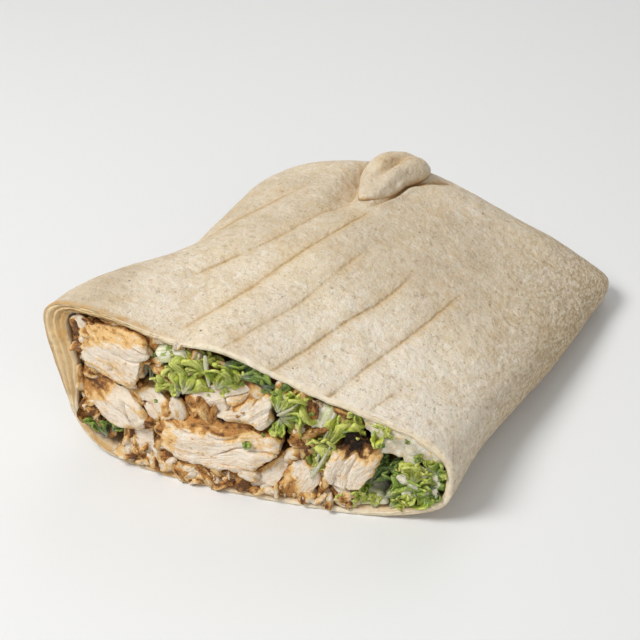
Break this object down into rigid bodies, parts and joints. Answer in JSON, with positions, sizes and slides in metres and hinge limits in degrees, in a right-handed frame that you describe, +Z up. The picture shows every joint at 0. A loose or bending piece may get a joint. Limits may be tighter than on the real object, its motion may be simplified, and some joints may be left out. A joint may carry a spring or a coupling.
{
  "type": "chicken caesar wrap half",
  "caption": "Half of a grilled chicken caesar wrap: a folded, press-grilled wheat tortilla, cut across to show chicken strips, romaine and dressing.",
  "frame": {"origin": "centre of the bounding box in plan, at the flat underside", "axes": "the cut face looks along -Y, the folded end lies at +Y, the thick rolled edge is at -X, +Z is up"},
  "size_m": [0.1405, 0.1372, 0.0459],
  "materials": {
    "wheat_tortilla": "matt toasted dough with fine brown flecks",
    "packed_filling": "moist mixed filling in the shade between the pieces",
    "grilled_chicken": "browned outside, pale fibrous cut face",
    "romaine_leaf": "moist green leaf",
    "romaine_rib": "moist pale rib",
    "creamy_dressing": "creamy and slightly glossy"
  },
  "bodies": {
    "root": {"tortilla": "wheat_tortilla", "filling_core": "packed_filling", "chicken_01": "grilled_chicken", "chicken_02": "grilled_chicken", "chicken_03": "grilled_chicken", "chicken_04": "grilled_chicken", "chicken_05": "grilled_chicken", "chicken_06": "grilled_chicken", "chicken_07": "grilled_chicken", "chicken_08": "grilled_chicken", "chicken_09": "grilled_chicken", "chicken_10": "grilled_chicken", "chicken_11": "grilled_chicken", "chicken_12": "grilled_chicken", "chicken_13": "grilled_chicken", "chicken_14": "grilled_chicken", "chicken_15": "grilled_chicken", "romaine_01": "romaine_leaf", "romaine_02": "romaine_leaf", "romaine_03": "romaine_leaf", "romaine_04": "romaine_leaf", "romaine_05": "romaine_leaf", "romaine_06": "romaine_leaf", "romaine_07": "romaine_leaf", "romaine_08": "romaine_leaf", "romaine_09": "romaine_leaf", "romaine_10": "romaine_leaf", "rib_01": "romaine_rib", "rib_02": "romaine_rib", "rib_03": "romaine_rib", "dressing": "creamy_dressing"}
  },
  "joints": []
}
